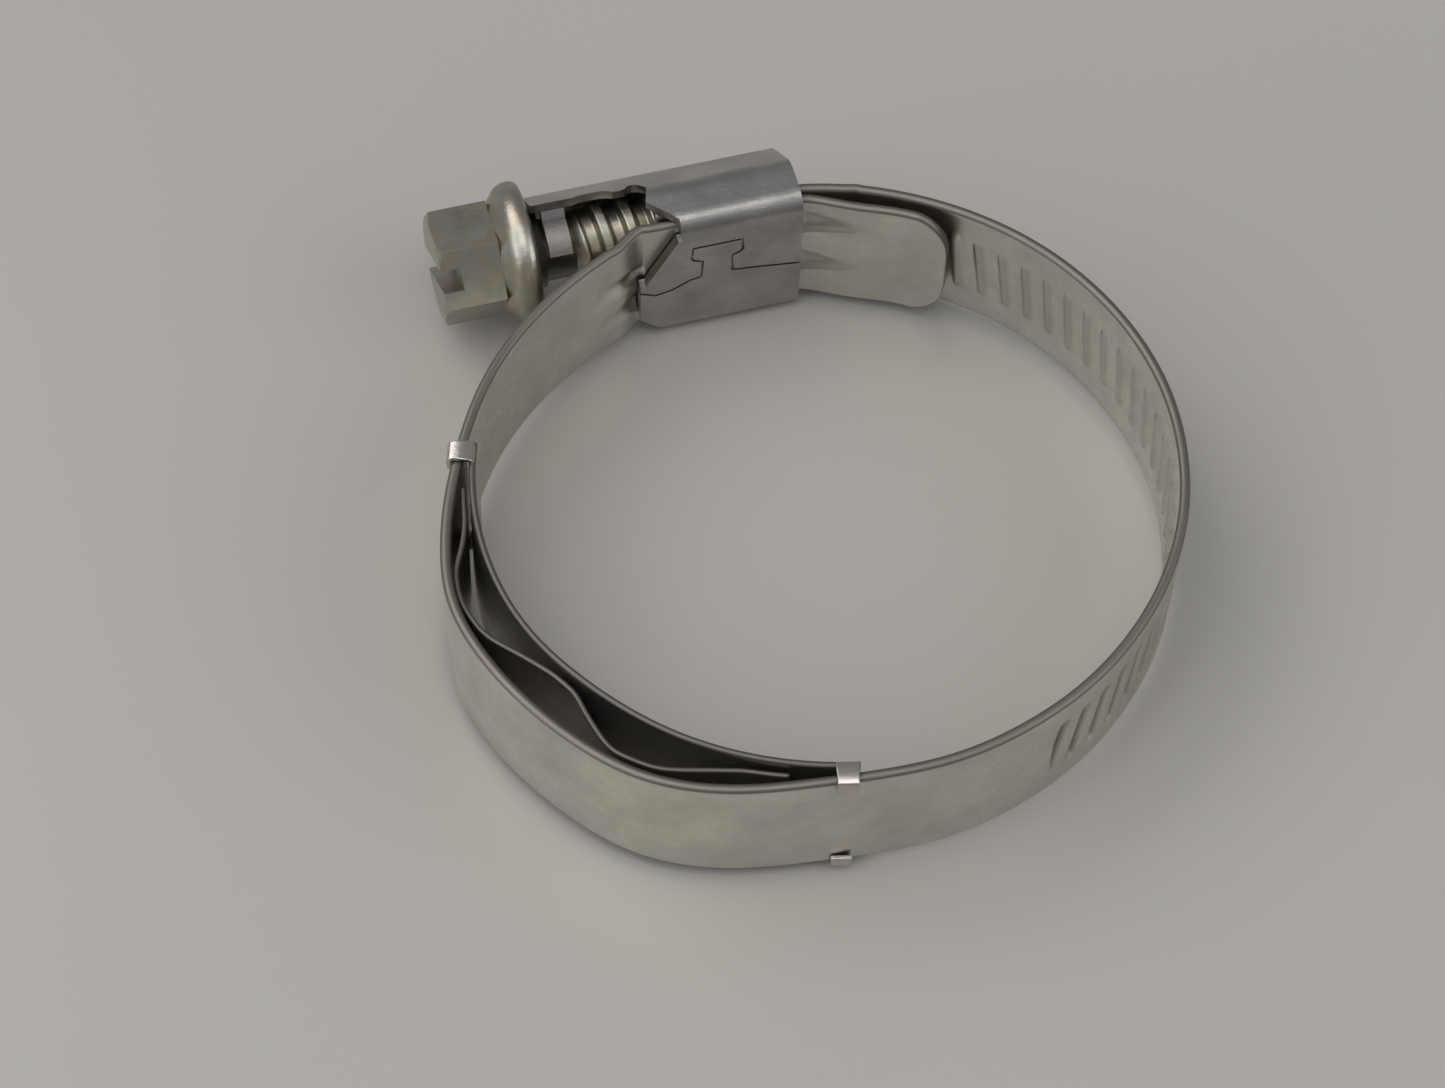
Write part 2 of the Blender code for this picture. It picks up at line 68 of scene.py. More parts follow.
FIXED_RUN = ((116, -0.4), (123, -0.2), (133, 0.3), (148, 1.3), (163, 2.2), (172, 3.2),
             (181, 4.3), (189, 5.35), (198, 5.3), (212, 5.0), (226, 4.8), (234, 4.0),
             (243, 2.7), (252, 1.45), (262, 0.9), (274, 0.75), (286, 0.5))
CLOSING_RUN = ((286, 0.5), (310, 0.4), (335, 0.45), (360, 0.25), (385, -0.2), (410, -0.55),
               (423, -0.6), (432, -0.5))
TONGUE = ((52, -2.15), (61, -2.15), (71, -2.15))
TONGUE_TAPER = 2.6      # length of the fixed end's rounded taper
TAIL_TRAVEL = 1.0       # how far past its rest the tail's tip is kept clear of raised flutes
FLUTED_RUN = 8.0        # length past the housing's left end where flutes may be pressed
CHANNEL_RUN = 16.0      # length of the tail end that runs close over the fixed run
LEAD = 0.15             # slant of the thread impressions

# Housing.
PLATE_Y = 22.2
SHEET = 0.8
PLATE_LEFT = -9.1
RIGHT_X = 3.7
ROOF_LEFT = -16.35
SHOULDER_Y = 26.2
SHOULDER_BEND = 2.6
BEND = 1.5
TUNNEL_RADIUS = 3.25
ROOF_RADIUS = TUNNEL_RADIUS + SHEET
ROOF_EDGE = 83.0
HEEL = 2.6
# The upper wall's torn-looking edge over the worm: a shallow notch, a lobe and a second notch.
EAVE = ((-7.5, -1.2), (-7.9, -0.1), (-8.3, 0.25), (-8.7, 0.1), (-9.0, -0.45), (-9.5, -0.75),
        (-10.0, -0.6), (-10.4, 0.0), (-10.9, 0.3), (-12.5, 0.3), (-13.0, 0.0))
# Middle line of the plate's interlocking seam, in x and z.
SEAM = ((-9.6, 5.3), (-8.9, 5.1), (-7.9, 4.6), (-6.6, 4.9), (-5.2, 5.7), (-4.3, 5.9), (-4.2, 7.9),
        (-4.9, 8.2), (-5.1, 8.6), (-5.0, 9.8), (-1.1, 9.8), (-1.0, 8.5), (-1.3, 8.2), (-1.9, 7.9),
        (-1.8, 6.0), (0.8, 5.6), (4.2, 5.0))
SEAM_WIDTH, SEAM_DEPTH = 0.21, 0.3
CORNER_CUT = 3.2
# How much painted shade darkens the tab that holds the screw's neck.
TAB_SHADE = 0.62
TAB_END = 140.0
TAB_LEFT, TAB_RIGHT = -15.5, -13.7
LOW_Z, HIGH_Z = -1.0, 13.0

# Screw.
SCREW_Y, SCREW_Z = 27.75, 6.0
CREST, ROOT = 3.0, 2.3
NECK = 2.25
COLLAR = 3.0
FLANGE_RADIUS = 5.6
FLANGE_LEFT, FLANGE_RIGHT = -18.7, -16.6
HEX_RIGHT, HEX_LEFT = -19.5, -24.1
HEX_FLATS = 8.0
HEX_CORNER = 51.0
SLOT_WIDTH, SLOT_DEPTH = 1.8, 1.6
THREAD_LEFT, THREAD_RIGHT = -13.3, 2.3

# Spring insert.
LINER_RUN = ((163, 1.4), (172, 1.55), (182, 1.65), (192, 1.65), (201, 1.45), (209, 1.05),
             (218, 0.8), (228, 0.65), (240, 0.4), (250, 0.25), (258, 0.2))
LINER_THICKNESS = 0.5
WAVE_RUN = ((170, 2.2), (176, 2.35), (180, 2.9), (184, 4.05), (189, 4.5), (195, 4.2),
            (201, 2.75), (206, 1.95), (211, 1.8), (215, 2.6), (221, 3.75), (228, 3.35),
            (235, 1.95), (240, 1.2), (247, 0.95))
WAVE_THICKNESS = 0.4
LUG_CENTRES = (165.0, 255.8)
LUG_WIDTH, LUG_SHEET = 1.7, 0.36

# Camera and stage.
IMAGE_WIDTH, FOCAL_PIXELS, SENSOR = 1445, 4000, 36.0
AZIMUTH, ELEVATION, ROLL, DISTANCE = -17.0, 58.66, 2.40, 303.2
TARGET = np.array([-7.883, 1.887, 0.0])

# Where the ring's centre stands in the row frame, read from the housing's CAD node.
HOUSING_LOW, HOUSING_HIGH = (np.array(corner) * 1000 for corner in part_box("housing"))
CENTRE = np.array([HOUSING_HIGH[0] - RIGHT_X, HOUSING_LOW[1] - PLATE_Y, HOUSING_LOW[2] - LOW_Z])


# ---------------------------------------------------------------- geometry
def polar(azimuth, offset):
    angle = math.radians(azimuth)
    return np.array([math.cos(angle), math.sin(angle)]) * (RING_RADIUS + offset)


def smooth_path(points, step=0.2):
    """Points a step apart on a Catmull-Rom curve through the given points."""
    points = [np.array(p, float) for p in points]
    ends = [2 * points[0] - points[1], *points, 2 * points[-1] - points[-2]]
    path = []
    for before, start, end, after in zip(ends, ends[1:], ends[2:], ends[3:]):
        count = max(1, round(np.linalg.norm(end - start) / step))
        for t in np.arange(count) / count:
            path.append(0.5 * (2 * start + (end - before) * t
                               + (2 * before - 5 * start + 4 * end - after) * t ** 2
                               + (3 * start - before - 3 * end + after) * t ** 3))
    return np.array(path + [points[-1]])


def ring_run(stations, step=2.5, soften_by=4.0):
    """Points round the ring, its radius eased between the given (azimuth, offset) pairs."""
    azimuths, offsets = np.array(stations, float).T
    count = round((azimuths[-1] - azimuths[0]) / step) + 1
    fine = np.linspace(azimuths[0], azimuths[-1], count)
    raw = np.interp(fine, azimuths, offsets)
    weights = np.exp(-0.5 * ((fine[:, None] - fine[None, :]) / soften_by) ** 2)
    centres = weights @ fine / weights.sum(1)
    slope = np.gradient(raw, fine)
    eased = weights @ raw / weights.sum(1) + (fine - centres) * slope
    return [polar(a, r) for a, r in zip(fine, eased)]


def nearest(path, point):
    return int(np.argmin(np.linalg.norm(path - np.array(point), axis=1)))


def path_lengths(path):
    return np.concatenate([[0], np.cumsum(np.linalg.norm(np.diff(path, axis=0), axis=1))])


def mesh_object(name, verts, faces, uv=None, recalc=True, painted_shade=None):
    """A smooth-shaded object from millimetres about the ring's centre."""
    mesh = bpy.data.meshes.new(name)
    places = (np.asarray(verts, float) + CENTRE) / 1000
    mesh.from_pydata(places.tolist(), [], [list(map(int, face)) for face in faces])
    if uv is not None:
        layer = mesh.uv_layers.new(name="run")
        corners = np.zeros(len(mesh.loops), dtype=np.int32)
        mesh.loops.foreach_get("vertex_index", corners)
        layer.data.foreach_set("uv", np.asarray(uv, float)[corners].ravel())
    if painted_shade is not None:
        layer = mesh.attributes.new("painted_shade", "FLOAT", "POINT")
        layer.data.foreach_set("value", np.asarray(painted_shade, float))
    if recalc:
        bm = bmesh.new()
        bm.from_mesh(mesh)
        bmesh.ops.recalc_face_normals(bm, faces=bm.faces)
        bm.to_mesh(mesh)
        bm.free()
    mesh.shade_smooth()
    item = bpy.data.objects.new(name, mesh)
    bpy.context.scene.collection.objects.link(item)
    return item


def strip_section(thickness, low, high, columns=34, rim=4):
    """(sideways, z, kind) round a strip's section: outer face, rounded rim, inner face, rim."""
    radius = min(thickness * 0.45, 0.4)
    half = thickness / 2
    zs = np.linspace(low + radius, high - radius, columns)
    rows = [(half, z, 1) for z in zs]
    for a in np.linspace(0, 180, 2 * rim + 1)[1:-1]:
        across = half * math.cos(math.radians(a))
        rows.append((across, high - radius + radius * math.sin(math.radians(a)), 0))
    rows += [(-half, z, -1) for z in zs[::-1]]
    for a in np.linspace(0, 180, 2 * rim + 1)[1:-1]:
        across = -half * math.cos(math.radians(a))
        rows.append((across, low + radius - radius * math.sin(math.radians(a)), 0))
    return rows


def strip(name, path, thickness, start=0.0, low=0.0, high=WIDTH, relief=None, shape=None,
          tangent=None, caps=(True, True), columns=32, dent_shading=None):
    """A strip on edge along a path, its section closed and its ends capped.

    relief(s, z, kind) moves the face of that kind outwards at length s and height z; shape(s)
    gives the low and high edge there, and dent_shading(s) how much painted shade darkens its
    dents. start is the length the path begins at, so that pieces match where they meet.
    """
    tangent = np.gradient(path, axis=0) if tangent is None else tangent.copy()
    tangent /= np.linalg.norm(tangent, axis=1)[:, None]
    side = np.stack([tangent[:, 1], -tangent[:, 0]], axis=1)
    lengths = path_lengths(path) + start
    section = strip_section(thickness, 0.0, 1000.0, columns)
    verts, uv, painted_shade = [], [], []
    for i, s in enumerate(lengths):
        bottom, top = shape(s) if shape else (low, high)
        ring = strip_section(thickness, bottom, top, columns)
        for across, z, kind in ring:
            push = relief(s, z, kind) if relief else 0.0
            place = path[i] + side[i] * (across + push)
            verts.append((place[0], place[1], z))
            uv.append((s, z + (20 if kind < 0 else 0)))
            # Painted shade: the rounded rims are darkened in full, and the pressed dents by their
            # depth.
            dent_shade = dent_shading(s) * (max(0.0, -push) * (2.4 if kind > 0 else 1.2)) if dent_shading else 0.0
            painted_shade.append(1.0 if kind == 0 else min(1.0, dent_shade))
    n = len(section)
    faces = []
    for i in range(len(path) - 1):
        for k in range(n):
            m = (k + 1) % n
            faces.append((i * n + k, i * n + m, (i + 1) * n + m, (i + 1) * n + k))
    if caps[0]:
        faces.append(tuple(range(n))[::-1])
    if caps[1]:
        faces.append(tuple(range((len(path) - 1) * n, len(path) * n)))
    return mesh_object(name, verts, faces, uv, recalc=all(caps), painted_shade=painted_shade)


def bump(x, width, soft):
    """1 within half a width of 0, falling to 0 over a soft edge."""
    t = np.clip((width / 2 + soft - abs(x)) / soft, 0, 1)
    return float(t * t * (3 - 2 * t))


def prism(outline, axis, start, end):
    """The (verts, faces) of a flat outline drawn out along X, Y or Z."""
    places = {"X": lambda a, b, c: (c, a, b), "Y": lambda a, b, c: (a, c, b),
              "Z": lambda a, b, c: (a, b, c)}[axis]
    n = len(outline)
    verts = [places(a, b, start) for a, b in outline] + [places(a, b, end) for a, b in outline]
    faces = [tuple(range(n)), tuple(range(n, 2 * n))]
    faces += [(k, (k + 1) % n, n + (k + 1) % n, n + k) for k in range(n)]
    return verts, faces


def arc(centre, radius, start, end, steps):
    angles = np.radians(np.linspace(start, end, steps + 1))
    return [(centre[0] + radius * math.cos(a), centre[1] + radius * math.sin(a)) for a in angles]


def boolean(base, tool, operation):
    """Apply a Boolean and remove its tool."""
    step = base.modifiers.new("cut", "BOOLEAN")
    step.operation, step.solver, step.object = operation, "EXACT", tool
    graph = bpy.context.evaluated_depsgraph_get()
    mesh = bpy.data.meshes.new_from_object(base.evaluated_get(graph))
    base.modifiers.clear()
    base.data = mesh
    bpy.data.objects.remove(tool)


def soften(item, width, segments=3, angle=35):
    """Round the sharp edges, and keep the flat faces flat in the shading."""
    bevel = item.modifiers.new("edges", "BEVEL")
    bevel.width, bevel.segments = width / 1000, segments
    bevel.limit_method, bevel.angle_limit = "ANGLE", math.radians(angle)
    bevel.harden_normals = True
    item.data.shade_smooth()


# ---------------------------------------------------------------- materials
# Sockets of a colour Mix node, whose names repeat for each data type.
FACTOR, COLOUR_A, COLOUR_B, MIXED = 0, 6, 7, 2


def node(tree, kind, **values):
    made = tree.nodes.new(kind)
    for key, value in values.items():
        if key in made.inputs:
            made.inputs[key].default_value = value
        else:
            setattr(made, key, value)
    return made


def metal(name, colour, dark, rough, grain, tint=None, scratch=0.3, uses_run=True, relief=0.00004):
    """Brushed metal: rolling lines, cloudy stain, painted shade where "painted_shade" is set, and a
    fine bump.
    """
    material = bpy.data.materials.new(name)
    material.use_nodes = True
    tree = material.node_tree
    link = tree.links.new
    shader = tree.nodes["Principled BSDF"]
    shader.inputs["Metallic"].default_value = 1.0
    where = node(tree, "ShaderNodeTexCoord")
    place = where.outputs["UV" if uses_run else "Object"]
    lines_map = node(tree, "ShaderNodeMapping")
    lines_scale = (0.12, 9.0, 1.0) if uses_run else (120.0, 4000.0, 4000.0)
    lines_map.inputs["Scale"].default_value = lines_scale
    link(place, lines_map.inputs["Vector"])
    lines = node(tree, "ShaderNodeTexNoise", Scale=1.0, Detail=5.0, Roughness=0.65)
    link(lines_map.outputs["Vector"], lines.inputs["Vector"])
    cloud = node(tree, "ShaderNodeTexNoise", Scale=220.0, Detail=6.0, Roughness=0.6)
    link(where.outputs["Object"], cloud.inputs["Vector"])
    fine = node(tree, "ShaderNodeTexNoise", Scale=2600.0, Detail=4.0, Roughness=0.7)
    link(where.outputs["Object"], fine.inputs["Vector"])
    stain = node(tree, "ShaderNodeMapRange")
    stain.inputs["From Min"].default_value = 0.34
    stain.inputs["From Max"].default_value = 0.72
    link(cloud.outputs["Fac"], stain.inputs["Value"])
    blend = node(tree, "ShaderNodeMix", data_type="RGBA")
    blend.inputs[COLOUR_A].default_value = (*colour, 1)
    blend.inputs[COLOUR_B].default_value = (*dark, 1)
    link(stain.outputs["Result"], blend.inputs[FACTOR])
    streak = node(tree, "ShaderNodeMapRange")
    streak.inputs["To Min"].default_value = 1.0 - grain
    streak.inputs["To Max"].default_value = 1.0 + grain
    link(lines.outputs["Fac"], streak.inputs["Value"])
    shade = node(tree, "ShaderNodeVectorMath", operation="SCALE")
    link(blend.outputs[MIXED], shade.inputs[0])
    link(streak.outputs["Result"], shade.inputs["Scale"])
    base = shade.outputs[0]
    if tint:
        patch = node(tree, "ShaderNodeTexNoise", Scale=420.0, Detail=3.0)
        link(where.outputs["Object"], patch.inputs["Vector"])
        spread = node(tree, "ShaderNodeMapRange")
        spread.inputs["From Min"].default_value = 0.48
        spread.inputs["From Max"].default_value = 0.62
        link(patch.outputs["Fac"], spread.inputs["Value"])
        mix = node(tree, "ShaderNodeMix", data_type="RGBA")
        mix.inputs[COLOUR_B].default_value = (*tint, 1)
        link(spread.outputs["Result"], mix.inputs[FACTOR])
        link(base, mix.inputs[COLOUR_A])
        base = mix.outputs[MIXED]
    # Painted shade: the colour darkens and roughens where the painted_shade attribute is set.
    edge = node(tree, "ShaderNodeAttribute", attribute_name="painted_shade")
    painted_shade_mix = node(tree, "ShaderNodeMix", data_type="RGBA")
    painted_shade_mix.inputs[COLOUR_B].default_value = (dark[0] * 0.42, dark[1] * 0.40, dark[2] * 0.40, 1)
    link(edge.outputs["Fac"], painted_shade_mix.inputs[FACTOR])
    link(base, painted_shade_mix.inputs[COLOUR_A])
    link(painted_shade_mix.outputs[MIXED], shader.inputs["Base Color"])
    level = node(tree, "ShaderNodeMapRange")
    level.inputs["To Min"].default_value = rough - 0.07
    level.inputs["To Max"].default_value = rough + 0.13
    link(cloud.outputs["Fac"], level.inputs["Value"])
    rougher = node(tree, "ShaderNodeMath", operation="MULTIPLY_ADD")
    rougher.inputs[1].default_value = 0.22
    link(edge.outputs["Fac"], rougher.inputs[0])
    link(level.outputs["Result"], rougher.inputs[2])
    link(rougher.outputs["Value"], shader.inputs["Roughness"])
    both = node(tree, "ShaderNodeMath", operation="ADD")
    link(lines.outputs["Fac"], both.inputs[0])
    link(fine.outputs["Fac"], both.inputs[1])
    raised = node(tree, "ShaderNodeBump", Strength=scratch, Distance=relief)
    link(both.outputs["Value"], raised.inputs["Height"])
    link(raised.outputs["Normal"], shader.inputs["Normal"])
    return material


def finish_piece(item, material, slot, body, *nodes):
    item.data.materials.clear()
    item.data.materials.append(material)
    if body:
        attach(item, body)
    if nodes:
        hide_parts(*nodes)


BAND = metal("band_satin", (0.665, 0.635, 0.58), (0.53, 0.50, 0.45), 0.26, 0.14)
HOUSING = metal("housing_satin", (0.47, 0.455, 0.44), (0.30, 0.29, 0.285), 0.29, 0.13,
                uses_run=False, relief=0.00009)
SCREW = metal("screw_zinc", (0.47, 0.455, 0.40), (0.26, 0.25, 0.21), 0.31, 0.07,
              tint=(0.42, 0.36, 0.28), scratch=0.5, uses_run=False)
SPRING = metal("spring_grey", (0.50, 0.48, 0.45), (0.40, 0.38, 0.36), 0.28, 0.10)


# ---------------------------------------------------------------- band
STRAIGHT = [(RIGHT_X + 1.2, FIXED_Y - 0.42), (RIGHT_X, FIXED_Y - 0.07)]
STRAIGHT += [(x, FIXED_Y) for x in (RIGHT_X - 2, PLATE_LEFT + 2, PLATE_LEFT)]
BAND_PATH = smooth_path([polar(a, r) for a, r in TONGUE] + STRAIGHT
                        + ring_run(FIXED_RUN + CLOSING_RUN[1:])
                        + [(RIGHT_X - 1.2, TAIL_Y), (TAIL_TIP_X, TAIL_Y)], 0.14)
BAND_LENGTHS = path_lengths(BAND_PATH)
BAND_TANGENTS = np.gradient(BAND_PATH, axis=0)
HALF_WAY = nearest(BAND_PATH, polar(190, 5.4))
RIGHT_S, CLEAR_S, LEFT_S = (
    BAND_LENGTHS[nearest(BAND_PATH[:HALF_WAY], (x, FIXED_Y))]
    for x in (RIGHT_X, BAND_PATH[-1][0] - TAIL_TRAVEL, PLATE_LEFT))
TIP_S = BAND_LENGTHS[-1]
THREAD_PHASE = (TIP_S + TAIL_TIP_X) % PITCH
FIRST_THREAD = BAND_LENGTHS[nearest(BAND_PATH, polar(FRONT_FLEX - 3, 0.45))]


def flutes(s, z):
    """Pressed flutes beside the housing's two ends, fading away from it.

    Those in the tongue stand inwards, clear of the moving band.
    """
    right = np.clip(1 - max(0.0, RIGHT_S - 0.2 - s) / 5.5, 0, 1)
    right *= np.clip((RIGHT_S + 2 - s) / 1.5, 0, 1)
    left = np.clip(1 - max(0.0, s - LEFT_S - 1.0) / 3.6, 0, 1)
    left *= np.clip((s - LEFT_S + 0.6) / 1.2, 0, 1) * (s > CLEAR_S)
    width, soft = 0.75 * right, 0.35 + 0.75 * right
    near = -0.80 * right * (bump(z - 9.4, width, soft) + bump(z - 4.4, width, soft))
    far = 0.45 * left * bump(z - 6.6 - 0.25 * (s - LEFT_S), 0.5, 0.9)
    far += 0.30 * left * bump(z - 3.4, 0.5, 0.9)
    return near + far


def impressions(s, z, kind):
    """Slanted thread impressions: deep on the outer face, faint ridges on the inner one."""
    if s < FIRST_THREAD or s > TIP_S - 0.6:
        return 0.0
    across = z - SCREW_Z
    phase = (s - THREAD_PHASE - across * LEAD + PITCH / 2) % PITCH - PITCH / 2
    tall = bump(across, 5.4, 0.5)
    depth = 0.46 if kind > 0 else 0.06 + 0.16 * np.clip((TIP_S - CHANNEL_RUN - s) / 4, 0, 1)
    return -depth * bump(phase, 0.5, 0.22) * tall


def pressed(s, z, kind):
    return flutes(s, z) if s < LEFT_S + FLUTED_RUN else impressions(s, z, kind)


def band_dent_shading(s):
    """How much painted shade darkens the pressed marks: less in the flutes than in the thread."""
    return 0.75 if s < LEFT_S + FLUTED_RUN else 1.0


def band_edges(s):
    """Low and high edge: the fixed end has a rounded taper."""
    t = np.clip(1 - s / TONGUE_TAPER, 0, 1)
    cut = 3.2 * (1 - math.sqrt(max(0.0, 1 - t ** 2))) + 0.35 * t
    return cut, WIDTH - cut


def band_piece(name, first, last):
    """The stretch of band between two places on its path. Neighbours share their end section."""
    path = BAND_PATH[first:last + 1]
    ends = (first == 0, last == len(BAND_PATH) - 1)
    return strip(name, path, THICKNESS, BAND_LENGTHS[first], relief=pressed, shape=band_edges,
                 tangent=BAND_TANGENTS[first:last + 1], caps=ends, dent_shading=band_dent_shading)


def behind_half_way(point):
    return HALF_WAY + nearest(BAND_PATH[HALF_WAY:], point)


BENDS = (polar(281, 0.6), polar(309, 0.4), polar(63, -0.58), (5.0, 24.2))
STOPS = [0, *map(behind_half_way, BENDS), len(BAND_PATH) - 1]
# Piece, its body, the body it bends towards, and the CAD node it stands for.
BAND_PIECES = (("band_fixed", "clamp_body", None, "band_fixed_run"),
               ("band_front_bend", "clamp_body", "closing_run", "band_closing_run"),
               ("band_closing", "closing_run", None, "band_closing_run"),
               ("band_tail_bend", "closing_run", "threaded_tail", "band_threaded_tail"),
               ("band_tail", "threaded_tail", None, "band_threaded_tail"))
for (name, body, next_body, cad_node), first, last in zip(BAND_PIECES, STOPS, STOPS[1:]):
    piece = band_piece(name, first, last)
    finish_piece(piece, BAND, "band_steel", None if next_body else body, cad_node)
    if next_body:
        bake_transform(piece)


# ---------------------------------------------------------------- housing
def fillet(corner, before, after, radius, steps):
    """An arc of that radius in the corner between the lines to two other points."""
    corner, before, after = (np.array(p, float) for p in (corner, before, after))
    u = (before - corner) / np.linalg.norm(before - corner)
    v = (after - corner) / np.linalg.norm(after - corner)
    half = math.acos(np.clip(u @ v, -1, 1)) / 2
    centre = corner + (u + v) / np.linalg.norm(u + v) * radius / math.sin(half)
    start, end = (corner + way * radius / math.tan(half) - centre for way in (u, v))
    a0, a1 = (math.degrees(math.atan2(place[1], place[0])) for place in (start, end))
    a1 = a0 + (a1 - a0 + 180) % 360 - 180
    return arc(centre, radius, a0, a1, steps)


def housing_outline(inset):
    """The folded sheet's section: plate, bends, sloping shoulders and round roof."""
    low, high = LOW_Z + inset, HIGH_Z - inset
    plate, radius = PLATE_Y + inset, ROOF_RADIUS - inset
    shoulder = np.array([SHOULDER_Y - SCREW_Y, high - SCREW_Z])
    tangent = math.degrees(math.atan2(shoulder[1], shoulder[0])
                           - math.acos(radius / np.linalg.norm(shoulder)))
    roof = arc((SCREW_Y, SCREW_Z), radius, tangent, -tangent, 40)
    upper, lower = (SHOULDER_Y, high), (SHOULDER_Y, low)
    points = fillet((plate, low), lower, (plate, high), BEND - inset, 12)
    points += fillet((plate, high), (plate, low), upper, BEND - inset, 12)
    points += fillet(upper, (plate, high), roof[0], SHOULDER_BEND - inset, 12)
    points += roof
    points += fillet(lower, roof[-1], (plate, low), SHOULDER_BEND - inset, 12)
    return points


def make_housing():
    """The shell, its cut-away left end, the seam and the tab that holds the screw's neck."""
    body = mesh_object("housing_shell", *prism(housing_outline(0), "X", ROOF_LEFT, RIGHT_X))
    eave = SCREW_Y + TUNNEL_RADIUS * math.cos(math.radians(ROOF_EDGE))
    left, under, over = ROOF_LEFT - 1, PLATE_Y - 1, HIGH_Z + 1
    back = PLATE_Y + SHEET + 0.1
    corner = PLATE_LEFT + CORNER_CUT
    cuts = [prism(housing_outline(SHEET), "X", ROOF_LEFT - 1, RIGHT_X + 1),
            prism([(left, under), (PLATE_LEFT, under), (PLATE_LEFT, SHOULDER_Y),
                   (PLATE_LEFT - 1, eave), (left, eave)], "Z", LOW_Z - 1, SCREW_Z),
            prism([(left, under), (PLATE_LEFT, under), *((x, eave + y) for x, y in EAVE),
                   (left, eave)], "Z", SCREW_Z, over),
            prism([(left, over), (corner, over), (corner, HIGH_Z - BEND),
                   (PLATE_LEFT + 0.4, SCREW_Z), (left, SCREW_Z)], "Y", under, back),
            prism([(left, LOW_Z - 1), (PLATE_LEFT + HEEL, LOW_Z - 1), (PLATE_LEFT + HEEL, LOW_Z),
                   (PLATE_LEFT, LOW_Z + HEEL), (left, LOW_Z + HEEL)], "Y", under, back + SHEET),
            prism([(left, under), (corner, under), (corner, PLATE_Y + SHEET),
                   (PLATE_LEFT, SHOULDER_Y), (left, SHOULDER_Y)], "Z", WIDTH - 1, over)]
    for k, (verts, faces) in enumerate(cuts):
        boolean(body, mesh_object(f"cut_{k}", verts, faces), "DIFFERENCE")
    for k, outline in enumerate(seam_outlines()):
        slit = mesh_object(f"seam_{k}", *prism(outline, "Y", under, PLATE_Y + SEAM_DEPTH))
        boolean(body, slit, "DIFFERENCE")
    axis = (SCREW_Y, SCREW_Z)
    tab = arc(axis, ROOF_RADIUS, ROOF_EDGE - 12, ROOF_EDGE, 6)
    tab += arc(axis, COLLAR + SHEET / 2, ROOF_EDGE + 8, TAB_END, 16)
    tab += arc(axis, NECK + 0.25, TAB_END, ROOF_EDGE, 16)
    tab += arc(axis, TUNNEL_RADIUS + SHEET / 4, ROOF_EDGE - 6, ROOF_EDGE - 12, 3)
    boolean(body, mesh_object("tab", *prism(tab, "X", TAB_LEFT, TAB_RIGHT)), "UNION")
    return body


def shade_tab(shell):
    """Paints shade on the tab: in the photo it is the dullest part of the sheet."""
    tab_shade = []
    for vertex in shell.data.vertices:
        x, y, z = np.array(vertex.co) * 1000 - CENTRE
        angle = math.degrees(math.atan2(z - SCREW_Z, y - SCREW_Y))
        on_tab = TAB_LEFT - 0.1 < x < TAB_RIGHT + 0.1 and ROOF_EDGE + 4 < angle < TAB_END + 10
        tab_shade.append(TAB_SHADE if on_tab else 0.0)
    shell.data.attributes.new("painted_shade", "FLOAT", "POINT").data.foreach_set("value", tab_shade)


def seam_outlines():
    """Thin overlapping rectangles, one along each stretch of the plate's interlocking seam."""
    line = [np.array(p) for p in SEAM]
    half = SEAM_WIDTH / 2
    outlines = []
    for a, b in zip(line, line[1:]):
        along = (b - a) / np.linalg.norm(b - a)
        side = np.array([-along[1], along[0]]) * half
        a, b = a - along * half * 0.9, b + along * half * 0.9
        outlines.append([tuple(a + side), tuple(b + side), tuple(b - side), tuple(a - side)])
    return outlines


housing = make_housing()
shade_tab(housing)
soften(housing, 0.14)
finish_piece(housing, HOUSING, "housing_steel", "clamp_body", "housing")


# ---------------------------------------------------------------- screw
def about_screw(name, xs, radius, segments):
    """A closed solid about the screw's axis: a ring at each x, radius(i, angle) from the axis."""
    verts, faces = [], []
    for i, x in enumerate(xs):
        for k in range(segments):
            a = 2 * math.pi * k / segments
            r = radius(i, a)
            verts.append((x, SCREW_Y + r * math.cos(a), SCREW_Z + r * math.sin(a)))
    for i in range(len(xs) - 1):
        here, ahead = i * segments, (i + 1) * segments
        for k in range(segments):
            n = (k + 1) % segments
            faces.append((here + k, here + n, ahead + n, ahead + k))
    faces.append(tuple(range(segments)))
    faces.append(tuple(range((len(xs) - 1) * segments, len(xs) * segments)))
    return mesh_object(name, verts, faces)


def turned(name, profile, segments=96):
    """A solid turned from (x, radius) pairs, the first and last of them on the axis."""
    inner = profile[1:-1]
    return about_screw(name, [x for x, _ in inner], lambda i, a: inner[i][1], segments)


def thread_radius(x, angle):
    """The worm's radius: a rounded helical crest that fades out at both ends."""
    turn = (x / PITCH - angle / (2 * math.pi)) % 1.0
    from_crest = abs(turn - 0.5) * 2
    rise = min(1.0, max(0.0, (0.66 - from_crest) / 0.36))
    rise = rise * rise * (3 - 2 * rise)
    end = min(x - THREAD_LEFT, THREAD_RIGHT - x) / (0.5 * PITCH)
    return ROOT + (CREST - ROOT) * rise * min(1.0, max(0.0, end))


def make_worm():
    step = PITCH / 28
    xs = np.arange(THREAD_LEFT, THREAD_RIGHT + step / 2, step)
    return about_screw("screw_worm", xs, lambda i, a: thread_radius(xs[i], a), 72)


